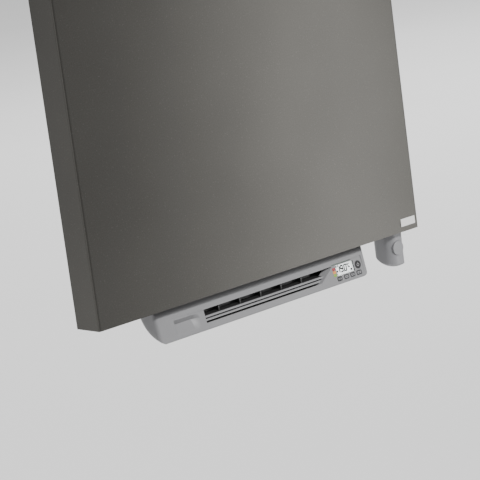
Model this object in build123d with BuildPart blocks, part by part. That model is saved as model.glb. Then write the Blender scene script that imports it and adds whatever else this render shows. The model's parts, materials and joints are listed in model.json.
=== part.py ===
from build123d import *
from math import atan, cos, radians, sin, sqrt, tan
import os

os.makedirs("parts", exist_ok=True)

# Wall-hung electric radiator with a fan-heater module under its front panel.
# Millimetres. X runs to the right, Y towards the wall and Z up.
# The origin is on the wall, in the middle of the four wall screws.

# Front panel
panel_width = 600
panel_height = 1200
panel_depth = 45
sheet = 2
bend_radius = 3
wall_to_front = 85

# Badge plate, bare
badge_width = 29
badge_height = 11
badge_thick = 0.8
badge_corner = 0.8
badge_inset = 7
badge_rise = 7.6

# Heating tubes
tube_count = 8
tube_thick = 11
tube_height = 50
tube_wall = 1.2
tube_radius = 3
first_tube = 90
top_margin = 75
port_radius = 6

# Collectors and their plugs
collector_size = 30
collector_radius = 5
collector_wall = 2
collector_end = 4
collector_inset = 36.5
collector_bottom = 18
collector_overrun = 15
thread_radius = 9.5
thread_gap = 0.05
plug_flats = 22
plug_head = 5
plug_shank = 9

# Wall brackets and the pins that hang in them
bracket_rows = 900
screw_rise = 24
wall_hole_radius = 3.25
bracket_width = 30
bracket_sheet = 3
bracket_reach = 35
arm_width = 20
arm_shift = 5
arm_drop = 16
hook_rise = 10
base_over_hole = 12
pin_radius = 4
pin_collar_radius = 7
pin_head = 3
seat_gap = 0.3

# Clips between the panel's flanges and the collectors
clip_sheet = 1.5
clip_height = 30
clip_leg = 16
clip_inset = 250

# Heating element
rod_radius = 5
rod_length = 700
rod_tail = 4
rod_tip_flat = 0.5
nut_flats = 24
nut_height = 8
nut_thread = 12
gasket_thick = 2
gasket_radius = 12.5

# Control head of the heating element
head_width = 33
head_depth = 37
head_bottom = -51.5
head_wall = 2
head_front_corner = 13
head_rear_corner = 10
head_front_round = 6
head_rear_round = 18
head_foot_round = 11
head_dome_radius = 30
head_dome_shift = (3, -5)
head_lid_thick = 2
head_button_radius = 10.5
head_button_height = -23
head_button_shift = -1
head_button_proud = 1
head_button_edge = 0.6
head_button_length = 7
head_ring = 1.5
head_ring_length = 5.5
head_board_switch = 3.4
head_board_height = 38
board_thick = 1.6
switch_size = 6
key_switch = 2.8
press_room = 1.1

# Fan module, outside
module_length = 394
module_top = 50
module_bottom = -47
module_front_at_edge = 17
lean = 0.188
strip_top = -8.8
strip_round = 8
slope_angle = 49
body_front = 21.5
body_back = 54
underside_radius = 52.4
underside_rise = 43.3
lip_round = 1.8
end_round = 8
front_corner_round = 5
back_round = 12
shell = 2.2
fascia_depth = 8.6

# Fan module, front details
strip_bottom = -19.5
recess_depth = 0.9
recess_end = -43
recess_left_inset = 23
recess_left_top = -17
recess_left_depth = 0.3
recess_right_inset = 8
recess_right_top = -16.5
outlet_left_inset = 84
outlet_right_inset = 65
outlet_slant = 27
outlet_bottom = -37.2
flare_depth = 16
flare_shift = 24
flare_wall = 1.5
flare_gap = 3.6
scoop_inset = 30
scoop_width = 33
scoop_slope = 12
scoop_top = -20.3
scoop_bottom = -41
scoop_depth = 6.6
scoop_drop = 7.2
scoop_wall = 1.6

# Outlet grille
slat_depth = 12
slat_rise = 2
slat_thick = 1.4
slat_lip = 2.3
slat_edge = 0.2
slat_tops = (-28.2, -32.4)
slat_setback = 0.2
rib_count = 5
rib_pitch = 38.8
rib_middle = -6.7
rib_thick = 1.6
rib_depth = 8
rib_setback = 1.2
sill_depth = 3
bar_thick = 1.4
grille_gap = 0.3

# Display, scale and buttons, placed on the recessed face from the display's middle
control_height = -28
controls_inset = 42
window_width = 35
window_top = -20
window_bottom = -34.5
window_flange = 0.8
window_thick = 2.1
window_sunk = 0.2
lcd_gap = 0.1
scale_shift = -21.8
scale_width = 5.6
scale_height = 3.6
scale_heights = (-24.1, -28.4, -32.7)
scale_proud = 0.1
button_height = 6.2
button_row = -38.8
button_shifts = (-15, -1.5, 11, 24)
button_widths = (9, 9, 9, 10)
button_corner = 1.6
button_proud = 0.25
button_body = 2.6
ear = 0.8
stem_radius = 1.5
stem_length = 2.2
standby_shift = 25.5
standby_z = -28
standby_radius = 5.6
key_gap = 0.3
control_board_depth = 8
board_left_shift = -25.5
board_right_shift = 31.5
board_top = -17.5
board_bottom = -40.2
post_radius = 1.5
post_shifts = ((-23.8, -19.2), (-23.8, -38), (29.6, -19.2))
small_screw_radius = 0.8
slot_left_shift = -25
slot_right_shift = 13
slot_height = 0.9
slot_z = -18.1

# Fan, motor and bearings
fan_depth = 37.6
fan_height = 26
fan_radius = 12
fan_inset = 2
blade_count = 20
blade_width = 2.8
blade_thick = 0.7
blade_turn = 35
disc_thick = 1.5
shaft_radius = 1.5
run_gap = 0.05
end_plate = 3
end_plate_gap = 2
bush_radius = 5
motor_radius = 12.5
motor_length = 30
shaft_in_motor = 12

# Heater
heater_length = 184
heater_depth = 22
heater_height = 10
heater_base = -4
fin_pitch = 4
fin_thick = 0.8
heater_bar = 2
frame_gap = 0.2
cutout_radius = 4.5
cutout_height = 4.5
cutout_inset = 32

# Air guide
guide_wall = 1.5
guide_left_inset = 5
guide_overrun = 4

# Electronics
power_board_inset = 14
power_board_width = 61
power_board_bottom = 5
power_board_top = 46.5
power_board_depth = 46
standoff_radius = 2
relay_width = 18
relay_height = 12
relay_thick = 14
capacitor_radius = 5
capacitor_length = 16
sink_thick = 2
terminal_height = 10
terminal_pitch = 8
terminal_poles = 3

# Cable gland and link to the head
gland_from_board = 12
gland_z = 36
gland_bore = 3.6
gland_thread = 6
gland_flange_radius = 8.5
gland_flange = 4
gland_dome_radius = 7.2
gland_dome = 8
gland_nut_thick = 3
link_radius = 3
link_depth = 30
link_height = 0.5
link_gap = 0.3

# Intake window, its grille and the dust filter
intake_inset = 10
intake_bottom = 8
intake_top = 43
intake_bars = 6
intake_bar = 1.6
filter_overrun = 2
filter_bottom = 4
filter_top = 47.5
filter_thick = 2.6
filter_rim = 5
filter_gap = 0.3
rail_wall = 2
rail_lip = 2.5
mesh_thick = 0.6
mesh_columns = 32
mesh_rows = 6
mesh_bar = 1.2
pull_width = 30
pull_depth = 5

# Brackets and screws of the module
hang_x = 100
hang_width = 20
hang_sheet = 2
hang_rise = 52
hang_screws = (26, 38)
hang_edge = 6
screw_radius = 2
screw_head_radius = 3.6
screw_head = 2.4
screw_length = 8
tower_inset = 13
tower_from_outlet = (7, 8)
tower_height = -12
tower_radius = 3.4
tower_bore = 1.6
tower_pilot = 1.3
tower_screw = 1.25
tower_head_radius = 2.6
tower_head = 2
tower_bite = 4

# Worked-out places
front_y = -wall_to_front
bottom_z = -panel_height / 2
collector_x = panel_width / 2 - collector_inset
tube_back = sheet + tube_thick
collector_depth = tube_back + collector_size / 2
collector_back = tube_back + collector_size
tube_pitch = (panel_height - top_margin - first_tube) / (tube_count - 1)
tube_rows = [first_tube + tube_pitch * i for i in range(tube_count)]
tube_length = 2 * collector_x + collector_size
collector_top = tube_rows[-1] + tube_height / 2 + collector_overrun
collector_height = collector_top - collector_bottom
hang_rows = [panel_height / 2 + side * bracket_rows / 2 - screw_rise for side in (-1, 1)]
clip_rows = (clip_inset, panel_height - clip_inset)
head_top = collector_bottom - gasket_thick - nut_height
module_half = module_length / 2
recess_left = recess_left_inset - module_half
recess_right = module_half - recess_right_inset
outlet_left = outlet_left_inset - module_half
outlet_right_top = module_half - outlet_right_inset
outlet_right_bottom = outlet_right_top - outlet_slant
scoop_left = scoop_inset - module_half
scoop_right_deep = scoop_left + scoop_width
scoop_right = scoop_right_deep + scoop_slope
controls_x = module_half - controls_inset
scale_x = controls_x + scale_shift
button_xs = [controls_x + shift for shift in button_shifts]
standby_x = controls_x + standby_shift
board_left = controls_x + board_left_shift
board_right = controls_x + board_right_shift
post_places = [(controls_x + shift, height) for shift, height in post_shifts]
slot_left = controls_x + slot_left_shift
slot_right = controls_x + slot_right_shift
fan_right = heater_length / 2 - fan_inset
fan_left = -fan_right
guide_left = outlet_left + guide_left_inset
guide_right = heater_length / 2 + guide_overrun
filter_half = heater_length / 2 + filter_overrun
intake_half = filter_half - intake_inset
cutout_x = cutout_inset - heater_length / 2
power_board_left = power_board_inset - module_half
power_board_right = power_board_left + power_board_width
gland_x = power_board_right + gland_from_board
tower_xs = (
    tower_inset - module_half,
    outlet_left - tower_from_outlet[0],
    outlet_right_top + tower_from_outlet[1],
    module_half - tower_inset,
)

# Working planes. Each starts at the middle of the panel's front bottom edge:
# front holds (x, height), section holds (depth, height) and plan holds (x, depth).
corner = (0, front_y, bottom_z)
front = Plane(corner, x_dir=(1, 0, 0), z_dir=(0, -1, 0))
section = Plane(corner, x_dir=(0, 1, 0), z_dir=(1, 0, 0))
plan = Plane(corner, x_dir=(1, 0, 0), z_dir=(0, 0, 1))


def face_depth(height):
    """Depth of the module's leaning front at a height."""
    return module_front_at_edge + lean * height


floor_lean = lean + recess_depth / (strip_bottom - recess_end)


def floor_depth(height):
    """Depth of the recessed face under the strip."""
    return face_depth(recess_end) + floor_lean * (height - recess_end)


tilt = atan(floor_lean)
control = Plane(
    (0, front_y + floor_depth(control_height), bottom_z + control_height),
    x_dir=(1, 0, 0),
    z_dir=(0, -cos(tilt), sin(tilt)),
)


def up(height):
    """Place of a height along the recessed face."""
    return (height - control_height) / cos(tilt)


def finish(builder, name):
    builder.part.label = name
    export_step(builder.part, f"parts/{name}.step")


# Front panel: folded sheet, open at the back and at the bottom
with BuildPart() as front_panel:
    with BuildSketch(plan):
        with Locations((0, panel_depth / 2)):
            Rectangle(panel_width, panel_depth)
    extrude(amount=panel_height)
    outer_bends = front_panel.faces().sort_by(Axis.Y)[0].edges().sort_by(Axis.Z)[1:]
    fillet(outer_bends, radius=bend_radius)
    open_sides = [front_panel.faces().sort_by(Axis.Y)[-1], front_panel.faces().sort_by(Axis.Z)[0]]
    offset(amount=-sheet, openings=open_sides)
finish(front_panel, "front_panel")

with BuildPart() as badge_plate:
    with BuildSketch(front):
        with Locations((panel_width / 2 - badge_inset - badge_width / 2, badge_rise + badge_height / 2)):
            RectangleRounded(badge_width, badge_height, badge_corner)
    extrude(amount=badge_thick)
finish(badge_plate, "badge_plate")


# Heating tubes: flat, closed, with a port into each collector
def heating_tube(height):
    with BuildPart() as tube:
        with BuildSketch(section.offset(-tube_length / 2)):
            with Locations((sheet + tube_thick / 2, height)):
                RectangleRounded(tube_thick, tube_height, tube_radius)
        extrude(amount=tube_length)
        with BuildSketch(section.offset(-tube_length / 2 + tube_wall)):
            with Locations((sheet + tube_thick / 2, height)):
                RectangleRounded(
                    tube_thick - 2 * tube_wall, tube_height - 2 * tube_wall, tube_radius - tube_wall
                )
        extrude(amount=tube_length - 2 * tube_wall, mode=Mode.SUBTRACT)
        with BuildSketch(front.offset(-tube_back)):
            with Locations((-collector_x, height), (collector_x, height)):
                Circle(port_radius)
        extrude(amount=2 * tube_wall, mode=Mode.SUBTRACT)
    return tube


for number, row in enumerate(tube_rows, start=1):
    finish(heating_tube(row), f"tube_{number:02d}")


# Collectors: square tube with closed, bored ends
def collector(x):
    with BuildPart() as pipe:
        with BuildSketch(plan.offset(collector_bottom)):
            with Locations((x, collector_depth)):
                RectangleRounded(collector_size, collector_size, collector_radius)
        extrude(amount=collector_height)
        with BuildSketch(plan.offset(collector_bottom + collector_end)):
            with Locations((x, collector_depth)):
                inside = collector_size - 2 * collector_wall
                RectangleRounded(inside, inside, collector_radius - collector_wall)
        extrude(amount=collector_height - 2 * collector_end, mode=Mode.SUBTRACT)
        with BuildSketch(plan.offset(collector_bottom)):
            with Locations((x, collector_depth)):
                Circle(thread_radius)
        extrude(amount=collector_height, mode=Mode.SUBTRACT)
        with BuildSketch(front.offset(-tube_back)):
            with Locations([(x, row) for row in tube_rows]):
                Circle(port_radius)
        extrude(amount=-2 * collector_wall, mode=Mode.SUBTRACT)
    return pipe


finish(collector(-collector_x), "left_collector")
finish(collector(collector_x), "right_collector")

# Blank plugs in the three collector ends that hold no heating element
plug_places = (
    (-collector_x, collector_bottom, -1),
    (-collector_x, collector_top, 1),
    (collector_x, collector_top, 1),
)
with BuildPart() as collector_plugs:
    for x, height, way in plug_places:
        mouth = Plane((x, front_y + collector_depth, bottom_z + height), x_dir=(1, 0, 0), z_dir=(0, 0, way))
        with BuildSketch(mouth):
            RegularPolygon(plug_flats / 2, 6, major_radius=False)
        extrude(amount=plug_head)
        with BuildSketch(mouth):
            Circle(thread_radius - thread_gap)
        extrude(amount=-plug_shank)
finish(collector_plugs, "collector_plugs")

# Headed pins on the back of the collectors
hook_front = wall_to_front - bracket_reach
hook_back = hook_front + bracket_sheet
with BuildPart() as hanger_pins:
    places = [(x, row) for x in (-collector_x, collector_x) for row in hang_rows]
    with BuildSketch(front.offset(-collector_back)):
        with Locations(places):
            Circle(pin_collar_radius)
    extrude(amount=-(hook_front - seat_gap - collector_back))
    with BuildSketch(front.offset(-collector_back)):
        with Locations(places):
            Circle(pin_radius)
    extrude(amount=-(hook_back + seat_gap - collector_back))
    with BuildSketch(front.offset(-(hook_back + seat_gap))):
        with Locations(places):
            Circle(pin_collar_radius)
    extrude(amount=-pin_head)
finish(hanger_pins, "hanger_pins")


# Wall brackets: base on the wall, arm, and hook plate with an open slot.
# Base and arm are narrower and lie further in, so the panel hides them from the side.
base_height = arm_drop + screw_rise + base_over_hole
hook_height = arm_drop + hook_rise
with BuildPart() as wall_brackets:
    for side in (-1, 1):
        x = side * collector_x
        arm_x = side * (collector_x - arm_shift)
        for row in hang_rows:
            with BuildSketch(section.offset(arm_x - arm_width / 2)):
                with Locations((wall_to_front, row - arm_drop)):
                    Rectangle(bracket_sheet, base_height, align=(Align.MAX, Align.MIN))
                    Rectangle(bracket_reach, bracket_sheet, align=(Align.MAX, Align.MIN))
            extrude(amount=arm_width)
            with BuildSketch(section.offset(x - bracket_width / 2)):
                with Locations((hook_front, row - arm_drop)):
                    Rectangle(bracket_sheet, hook_height, align=(Align.MIN, Align.MIN))
            extrude(amount=bracket_width)
            with BuildSketch(front.offset(-hook_front)):
                with Locations((x, row)):
                    Circle(pin_radius + seat_gap)
                    Rectangle(2 * (pin_radius + seat_gap), 2 * hook_rise, align=(Align.CENTER, Align.MIN))
            extrude(amount=-bracket_sheet, mode=Mode.SUBTRACT)
            with BuildSketch(front.offset(-wall_to_front)):
                with Locations((arm_x, row + screw_rise)):
                    Circle(wall_hole_radius)
            extrude(amount=bracket_sheet, mode=Mode.SUBTRACT)
finish(wall_brackets, "wall_brackets")

# Sheet clips that hold the panel's flanges to the collectors
with BuildPart() as panel_clips:
    for row in clip_rows:
        with BuildSketch(plan.offset(row - clip_height / 2)):
            flange_inside = panel_width / 2 - sheet
            collector_side = collector_x + collector_size / 2
            with Locations((flange_inside, collector_depth)):
                Rectangle(clip_sheet, clip_leg, align=(Align.MAX, Align.MAX))
            with Locations((collector_side, collector_depth)):
                Rectangle(clip_sheet, clip_leg, align=(Align.MIN, Align.MAX))
                Rectangle(flange_inside - collector_side, clip_sheet, align=(Align.MIN, Align.MAX))
            mirror(about=Plane.YZ)
        extrude(amount=clip_height)
finish(panel_clips, "panel_clips")

# Heating element: rod, hexagon nut and gasket in the right collector's lower end
with BuildPart() as element_rod:
    with BuildSketch(plan.offset(head_top - rod_tail)):
        with Locations((collector_x, collector_depth)):
            Circle(rod_radius)
    extrude(amount=rod_length)
    fillet(element_rod.edges().sort_by(Axis.Z)[-1], radius=rod_radius - rod_tip_flat)
finish(element_rod, "element_rod")

with BuildPart() as element_nut:
    with BuildSketch(plan.offset(head_top)):
        with Locations((collector_x, collector_depth)):
            RegularPolygon(nut_flats / 2, 6, major_radius=False)
    extrude(amount=nut_height)
    with BuildSketch(plan.offset(head_top)):
        with Locations((collector_x, collector_depth)):
            Circle(thread_radius - thread_gap)
    extrude(amount=nut_height + nut_thread)
    with BuildSketch(plan.offset(head_top)):
        with Locations((collector_x, collector_depth)):
            Circle(rod_radius + thread_gap)
    extrude(amount=nut_height + nut_thread, mode=Mode.SUBTRACT)
finish(element_nut, "element_nut")

with BuildPart() as element_gasket:
    with BuildSketch(plan.offset(head_top + nut_height)):
        with Locations((collector_x, collector_depth)):
            Circle(gasket_radius)
            Circle(thread_radius + thread_gap, mode=Mode.SUBTRACT)
    extrude(amount=gasket_thick)
finish(element_gasket, "element_gasket")

# Control head: rounded box hanging under the right collector
head_front = collector_depth - head_depth / 2
head_back = collector_depth + head_depth / 2


def head_block(inset):
    """The head's outer form, or its inside when inset by the wall."""
    half = head_width / 2 - inset
    near = head_front + inset
    far = head_back - inset
    low = head_bottom + inset
    with BuildPart() as block:
        with BuildSketch(section.offset(collector_x - half)) as side:
            with BuildLine():
                Polyline((near, head_top), (near, low), (far, low), (far, head_top), close=True)
            make_face()
            fillet(side.vertices().group_by(Axis.Y)[0].sort_by(Axis.X)[0], radius=head_front_round - inset)
            fillet(side.vertices().group_by(Axis.Y)[0].sort_by(Axis.X)[-1], radius=head_rear_round - inset)
        extrude(amount=2 * half)
        with BuildSketch(plan.offset(low)) as outline:
            with Locations((collector_x, collector_depth)):
                Rectangle(2 * half, far - near)
            fillet(outline.vertices().group_by(Axis.Y)[0], radius=head_front_corner - inset)
            fillet(outline.vertices().group_by(Axis.Y)[-1], radius=head_rear_corner - inset)
        extrude(amount=head_top - low, mode=Mode.INTERSECT)
        with BuildSketch(front.offset(-near)) as face:
            with Locations((collector_x, low)):
                Rectangle(2 * half, head_top - low, align=(Align.CENTER, Align.MIN))
            fillet(face.vertices().group_by(Axis.Y)[0], radius=head_foot_round - inset)
        extrude(amount=near - far, mode=Mode.INTERSECT)
        with BuildPart(mode=Mode.SUBTRACT):
            with BuildSketch(plan.offset(head_bottom)):
                with Locations((collector_x, collector_depth)):
                    Rectangle(2 * head_depth, 2 * head_depth)
            extrude(amount=head_dome_radius)
            dome_x = collector_x + head_dome_shift[0]
            dome_y = front_y + collector_depth + head_dome_shift[1]
            with Locations((dome_x, dome_y, bottom_z + head_bottom + head_dome_radius)):
                Sphere(head_dome_radius - inset, mode=Mode.SUBTRACT)
    return block.part


head_button_x = collector_x + head_button_shift
head_outside = head_block(0)
head_inside = head_block(head_wall)
with BuildPart() as head_body:
    add(head_outside)
    add(head_inside, mode=Mode.SUBTRACT)
    with BuildSketch(front.offset(-(head_front + head_wall / 2))):
        with Locations((head_button_x, head_button_height)):
            Circle(head_button_radius + key_gap + head_ring)
    extrude(amount=-head_ring_length)
    with BuildSketch(front.offset(-head_front)):
        with Locations((head_button_x, head_button_height)):
            Circle(head_button_radius + key_gap)
    extrude(amount=-(head_wall / 2 + head_ring_length), mode=Mode.SUBTRACT)
    with BuildSketch(section.offset(collector_x - head_width / 2)):
        with Locations((link_depth, link_height)):
            Circle(link_radius + link_gap)
    extrude(amount=head_wall, mode=Mode.SUBTRACT)
    add(head_outside, mode=Mode.INTERSECT)
finish(head_body, "head_body")

with BuildPart() as head_lid:
    add(head_inside)
    with BuildSketch(plan.offset(head_top - head_lid_thick)):
        with Locations((collector_x, collector_depth)):
            Rectangle(head_width, head_depth)
            Circle(rod_radius + link_gap, mode=Mode.SUBTRACT)
    extrude(amount=head_lid_thick, mode=Mode.INTERSECT)
finish(head_lid, "head_lid")

with BuildPart() as head_button:
    with BuildSketch(front.offset(-(head_front - head_button_proud))):
        with Locations((head_button_x, head_button_height)):
            Circle(head_button_radius)
    extrude(amount=-head_button_length)
    fillet(head_button.edges().sort_by(Axis.Y)[0], radius=head_button_edge)
finish(head_button, "head_button")

# Circuit board in the head, with the switch behind the button
head_board_face = head_front - head_button_proud + head_button_length + press_room + head_board_switch
with BuildPart() as head_board:
    add(head_inside)
    with BuildSketch(front.offset(-head_board_face)):
        with Locations((collector_x, head_bottom + head_wall)):
            Rectangle(head_width, head_board_height, align=(Align.CENTER, Align.MIN))
    extrude(amount=-board_thick, mode=Mode.INTERSECT)
    with BuildSketch(front.offset(-head_board_face)):
        with Locations((head_button_x, head_button_height)):
            Rectangle(switch_size, switch_size)
    extrude(amount=head_board_switch)
finish(head_board, "head_board")


# Fan module: one closed form, hollowed and split into the front fascia and the housing
slope_rise = (body_front - face_depth(strip_top)) * tan(radians(slope_angle))
shoulder = strip_top + slope_rise
arc_start = (face_depth(module_bottom), module_bottom)
arc_end = (body_back, module_bottom + underside_rise)
arc_chord = (arc_end[0] - arc_start[0], arc_end[1] - arc_start[1])
arc_reach = sqrt(underside_radius**2 / (arc_chord[0] ** 2 + arc_chord[1] ** 2) - 1 / 4)
arc_center = (
    (arc_start[0] + arc_end[0]) / 2 - arc_reach * arc_chord[1],
    (arc_start[1] + arc_end[1]) / 2 + arc_reach * arc_chord[0],
)


def module_block(inset):
    """The module's outer form, or its inside when inset by the shell."""
    half = module_half - inset
    with BuildPart() as block:
        with BuildSketch(section.offset(-half)) as side:
            with BuildLine():
                Polyline(
                    arc_start,
                    (face_depth(strip_top), strip_top),
                    (body_front, shoulder),
                    (body_front, module_top),
                    (body_back, module_top),
                    arc_end,
                )
                RadiusArc(arc_end, arc_start, underside_radius)
            make_face()
            strip_corner = side.vertices().sort_by_distance((face_depth(strip_top), strip_top))[0]
            fillet(strip_corner, radius=strip_round)
            lip_corner = side.vertices().sort_by_distance(arc_start)[0]
            fillet(lip_corner, radius=lip_round)
            if inset:
                offset(amount=-inset, kind=Kind.INTERSECTION, mode=Mode.REPLACE)
        extrude(amount=2 * half)
        with BuildSketch(front) as outline:
            with Locations((0, module_bottom + inset)):
                Rectangle(2 * half, module_top - module_bottom - 2 * inset, align=(Align.CENTER, Align.MIN))
            fillet(outline.vertices().group_by(Axis.Y)[0], radius=end_round - inset)
        extrude(amount=-2 * body_back, mode=Mode.INTERSECT)
        with BuildSketch(plan.offset(module_bottom)) as footprint:
            with Locations((0, body_back - inset)):
                Rectangle(2 * half, body_back, align=(Align.CENTER, Align.MAX))
            fillet(footprint.vertices().group_by(Axis.Y)[-1], radius=back_round - inset)
        extrude(amount=module_top - module_bottom, mode=Mode.INTERSECT)
        foot = Plane(
            (0, front_y + face_depth(module_bottom), bottom_z + module_bottom),
            x_dir=(1, 0, 0),
            z_dir=(0, 0, 1),
        )
        front_round = front_corner_round - inset
        with BuildSketch(foot):
            with Locations((half, inset - lip_round)):
                Rectangle(front_round, front_round + lip_round, align=(Align.MAX, Align.MIN))
            with Locations((half - front_round, front_corner_round)):
                Circle(front_round, mode=Mode.SUBTRACT)
            mirror(about=Plane.YZ)
        extrude(amount=(shoulder - module_bottom) * sqrt(1 + lean**2), dir=(0, lean, 1), mode=Mode.SUBTRACT)
        axle = (0, front_y + arc_center[0], bottom_z + arc_center[1])
        under_round = back_round - inset
        with BuildSketch(Plane(axle, x_dir=(1, 0, 0), z_dir=(0, 1, 0))):
            with Locations((half - under_round, underside_radius - inset - under_round)):
                Rectangle(2 * under_round, 2 * under_round, align=(Align.MIN, Align.MIN))
                Circle(under_round, mode=Mode.SUBTRACT)
            mirror(about=Plane.YZ)
        revolve(axis=Axis(axle, (1, 0, 0)), revolution_arc=90, mode=Mode.SUBTRACT)
    return block.part


module_outside = module_block(0)
module_inside = module_block(shell)

# The fascia is what lies in front of a leaning split and under the shoulder
with BuildPart() as fascia_zone:
    with BuildSketch(section.offset(-module_half)):
        with BuildLine():
            Polyline(
                (0, 2 * module_bottom),
                (0, shoulder),
                (face_depth(shoulder) + fascia_depth, shoulder),
                (face_depth(2 * module_bottom) + fascia_depth, 2 * module_bottom),
                close=True,
            )
        make_face()
    extrude(amount=module_length)

# Wedge under the strip, fading out at the lip
recess_stations = (
    (recess_left, recess_left_top, recess_left_depth),
    (outlet_left, strip_bottom, recess_depth),
    (outlet_right_bottom, strip_bottom, recess_depth),
    (recess_right, recess_right_top, recess_depth),
)
with BuildPart() as recess_wedge:
    for x, top, depth in recess_stations:
        with BuildSketch(section.offset(x)):
            with BuildLine():
                Polyline(
                    (face_depth(top) - 1, top),
                    (face_depth(top) + depth, top),
                    (face_depth(recess_end), recess_end),
                    (face_depth(recess_end) - 1, recess_end),
                    close=True,
                )
            make_face()
    loft(ruled=True)


# Finger recess: a sloped upper wall over a ramp, with a sloped right wall
def scoop_form(grow):
    low = scoop_top - scoop_drop
    stations = (
        (scoop_left - grow, scoop_depth),
        (scoop_right_deep + grow, scoop_depth),
        (scoop_right + grow, recess_depth / 2),
    )
    with BuildPart() as form:
        for x, depth in stations:
            with BuildSketch(section.offset(x)):
                with BuildLine():
                    Polyline(
                        (face_depth(scoop_top) - 1, scoop_top + grow),
                        (face_depth(scoop_top) + grow, scoop_top + grow),
                        (face_depth(low) + depth + grow, low + grow / 2),
                        (face_depth(scoop_bottom) + grow, scoop_bottom - grow),
                        (face_depth(scoop_bottom) - 1, scoop_bottom - grow),
                        close=True,
                    )
                make_face()
        loft(ruled=True)
    return form.part


scoop_hollow = scoop_form(0)
scoop_shell = scoop_form(scoop_wall)

# Right wall of the outlet, running inwards and to the left
flare_way = (-flare_shift, flare_depth * cos(tilt), -flare_depth * sin(tilt))
with BuildPart() as outlet_flare:
    with BuildSketch(control):
        with BuildLine():
            Polyline(
                (outlet_right_top, up(strip_bottom)),
                (outlet_right_top + 2 * flare_wall, up(strip_bottom)),
                (outlet_right_bottom + 2 * flare_wall, up(outlet_bottom)),
                (outlet_right_bottom, up(outlet_bottom)),
                close=True,
            )
        make_face()
    extrude(amount=sqrt(flare_shift**2 + flare_depth**2), dir=flare_way)

button_places = [(x, up(button_row), width) for x, width in zip(button_xs, button_widths)]
window_level = (up(window_top) + up(window_bottom)) / 2
window_height = up(window_top) - up(window_bottom)

with BuildPart() as module_fascia:
    add(module_outside)
    add(module_inside, mode=Mode.SUBTRACT)
    with BuildSketch(control.offset(shell)):
        with BuildLine():
            Polyline(
                (outlet_left, up(strip_bottom)),
                (outlet_right_top, up(strip_bottom)),
                (outlet_right_bottom, up(outlet_bottom)),
                (outlet_left, up(outlet_bottom)),
                close=True,
            )
        make_face()
    extrude(amount=-2 * shell, mode=Mode.SUBTRACT)
    add(scoop_shell)
    add(outlet_flare.part)
    with BuildSketch(control.offset(-control_board_depth)):
        with Locations([(x, up(height)) for x, height in post_places]):
            Circle(post_radius)
    extrude(amount=control_board_depth)
    for x in tower_xs:
        with BuildSketch(front.offset(-(face_depth(tower_height) + shell / 2))):
            with Locations((x, tower_height)):
                Circle(tower_radius)
        extrude(amount=-(fascia_depth - shell / 2))
    add(fascia_zone.part, mode=Mode.INTERSECT)
    add(module_outside, mode=Mode.INTERSECT)
    add(recess_wedge.part, mode=Mode.SUBTRACT)
    add(scoop_hollow, mode=Mode.SUBTRACT)
    with BuildSketch(control.offset(shell)):
        with Locations((controls_x, window_level)):
            Rectangle(window_width, window_height)
        for x, height, width in button_places:
            with Locations((x, height)):
                RectangleRounded(width + 2 * key_gap, button_height + 2 * key_gap, button_corner + key_gap)
        with Locations((standby_x, up(standby_z))):
            Circle(standby_radius + key_gap)
        with Locations([(scale_x, up(height)) for height in scale_heights]):
            Rectangle(scale_width + 2 * lcd_gap, scale_height + 2 * lcd_gap)
        with Locations(((slot_left + slot_right) / 2, up(slot_z))):
            Rectangle(slot_right - slot_left, slot_height)
    extrude(amount=-(shell + button_body + ear), mode=Mode.SUBTRACT)
    with BuildSketch(control.offset(-control_board_depth)):
        with Locations([(x, up(height)) for x, height in post_places]):
            Circle(small_screw_radius)
    extrude(amount=control_board_depth / 2, mode=Mode.SUBTRACT)
    with BuildSketch(front.offset(-(face_depth(tower_height) + fascia_depth))):
        with Locations([(x, tower_height) for x in tower_xs]):
            Circle(tower_pilot)
    extrude(amount=tower_bite, mode=Mode.SUBTRACT)
finish(module_fascia, "module_fascia")

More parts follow.
